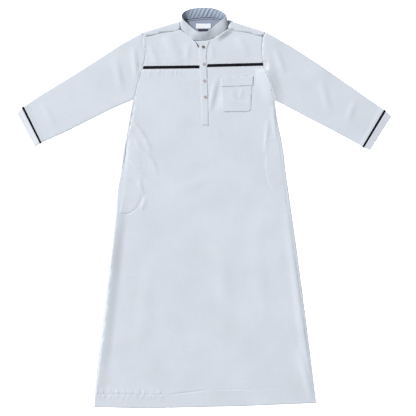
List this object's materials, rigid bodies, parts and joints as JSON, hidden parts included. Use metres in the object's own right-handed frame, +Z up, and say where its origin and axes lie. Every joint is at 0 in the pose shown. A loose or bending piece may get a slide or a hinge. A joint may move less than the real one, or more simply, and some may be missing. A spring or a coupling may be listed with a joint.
{
  "type": "thobe robe",
  "caption": "Ankle-length men's robe with a stand collar, buttoned placket, chest pocket, taped chest seam and taped cuffs, laid flat on its back.",
  "frame": {"origin": "on the surface that the garment lies on, below the centre of its outline", "axes": "+Z up, out of the front of the garment; +Y from the hem to the collar; +X to the wearer's left"},
  "size_m": [1.3847, 1.4802, 0.0379],
  "materials": {
    "cloth": "fine plain weave with a soft sheen",
    "cuff_cloth": "the same weave, paler",
    "tape": "narrow woven tape",
    "label": "smooth woven, blank",
    "button": "pearly shell"
  },
  "bodies": {
    "root": {"back": "cloth", "front_lower": "cloth", "front_upper_right": "cloth", "front_upper_left": "cloth", "sleeve_right": "cloth", "sleeve_left": "cloth", "cuff_tape_right": "tape", "cuff_tape_left": "tape", "cuff_band_right": "cuff_cloth", "cuff_band_left": "cuff_cloth", "chest_tape_right": "tape", "chest_tape_left": "tape", "placket": "cloth", "button_1": "button", "button_2": "button", "button_3": "button", "button_4": "button", "collar": "cloth", "chest_pocket": "cloth", "chest_pocket_band": "cloth", "pocket_welt_right": "cloth", "pocket_bag_right": "cloth", "pocket_bag_left": "cloth", "neck_label": "label", "size_tab": "tape"}
  },
  "joints": []
}
